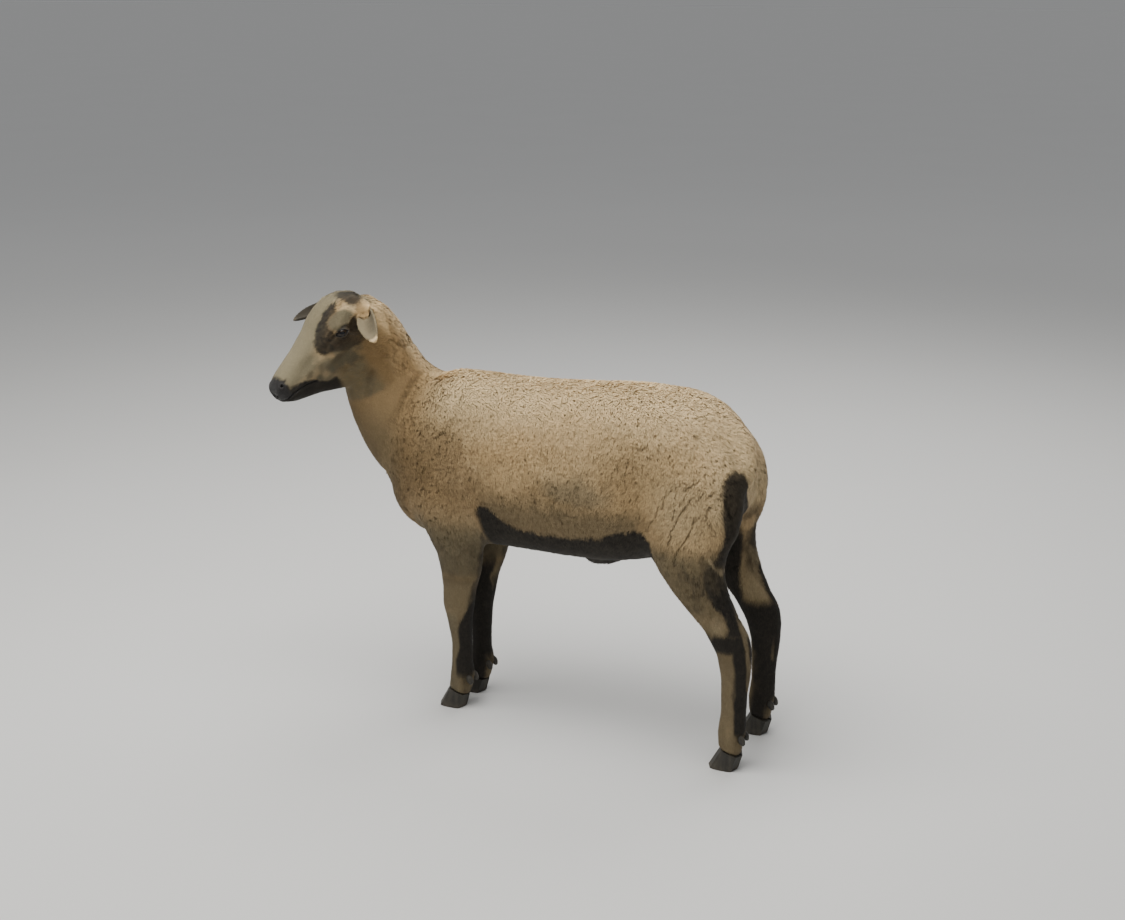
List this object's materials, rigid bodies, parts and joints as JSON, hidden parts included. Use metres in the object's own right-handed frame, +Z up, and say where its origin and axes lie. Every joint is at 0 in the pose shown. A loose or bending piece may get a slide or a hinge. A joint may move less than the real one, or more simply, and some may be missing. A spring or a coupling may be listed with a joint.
{
  "type": "shorn sheep",
  "caption": "Life-size still model of a young shorn hill sheep, standing with its head turned, without horns, with a docked tail and badger-faced markings.",
  "frame": {"origin": "on the floor, under the middle of the whole model's box", "axes": "+Z up; the body faces -X with its left side to -Y, and the head is turned towards -Y"},
  "size_m": [0.9062, 0.3506, 0.7901],
  "materials": {
    "black_wool": "short dense hair",
    "eye_ball": "wet gloss",
    "face_hair": "short smooth hair",
    "hoof_horn": "satin",
    "pale_wool": "short dense shorn fleece",
    "tan_wool": "short dense shorn fleece"
  },
  "bodies": {
    "root": {"barrel": "tan_wool", "chest": "tan_wool", "dewclaw_fore_left_inner": "hoof_horn", "dewclaw_fore_left_outer": "hoof_horn", "dewclaw_fore_right_inner": "hoof_horn", "dewclaw_fore_right_outer": "hoof_horn", "dewclaw_hind_left_inner": "hoof_horn", "dewclaw_hind_left_outer": "hoof_horn", "dewclaw_hind_right_inner": "hoof_horn", "dewclaw_hind_right_outer": "hoof_horn", "ear_left": "face_hair", "ear_right": "face_hair", "eye_left": "eye_ball", "eye_right": "eye_ball", "foreleg_left_cannon": "tan_wool", "foreleg_left_pastern": "tan_wool", "foreleg_left_upper": "tan_wool", "foreleg_right_cannon": "black_wool", "foreleg_right_pastern": "black_wool", "foreleg_right_upper": "black_wool", "head": "face_hair", "hindleg_left_cannon": "tan_wool", "hindleg_left_pastern": "tan_wool", "hindleg_left_upper": "pale_wool", "hindleg_right_cannon": "black_wool", "hindleg_right_pastern": "black_wool", "hindleg_right_upper": "tan_wool", "hoof_fore_left_inner": "hoof_horn", "hoof_fore_left_outer": "hoof_horn", "hoof_fore_right_inner": "hoof_horn", "hoof_fore_right_outer": "hoof_horn", "hoof_hind_left_inner": "hoof_horn", "hoof_hind_left_outer": "hoof_horn", "hoof_hind_right_inner": "hoof_horn", "hoof_hind_right_outer": "hoof_horn", "lower_jaw": "black_wool", "neck": "tan_wool", "rump": "pale_wool", "sheath": "black_wool", "tail": "pale_wool"}
  },
  "joints": []
}
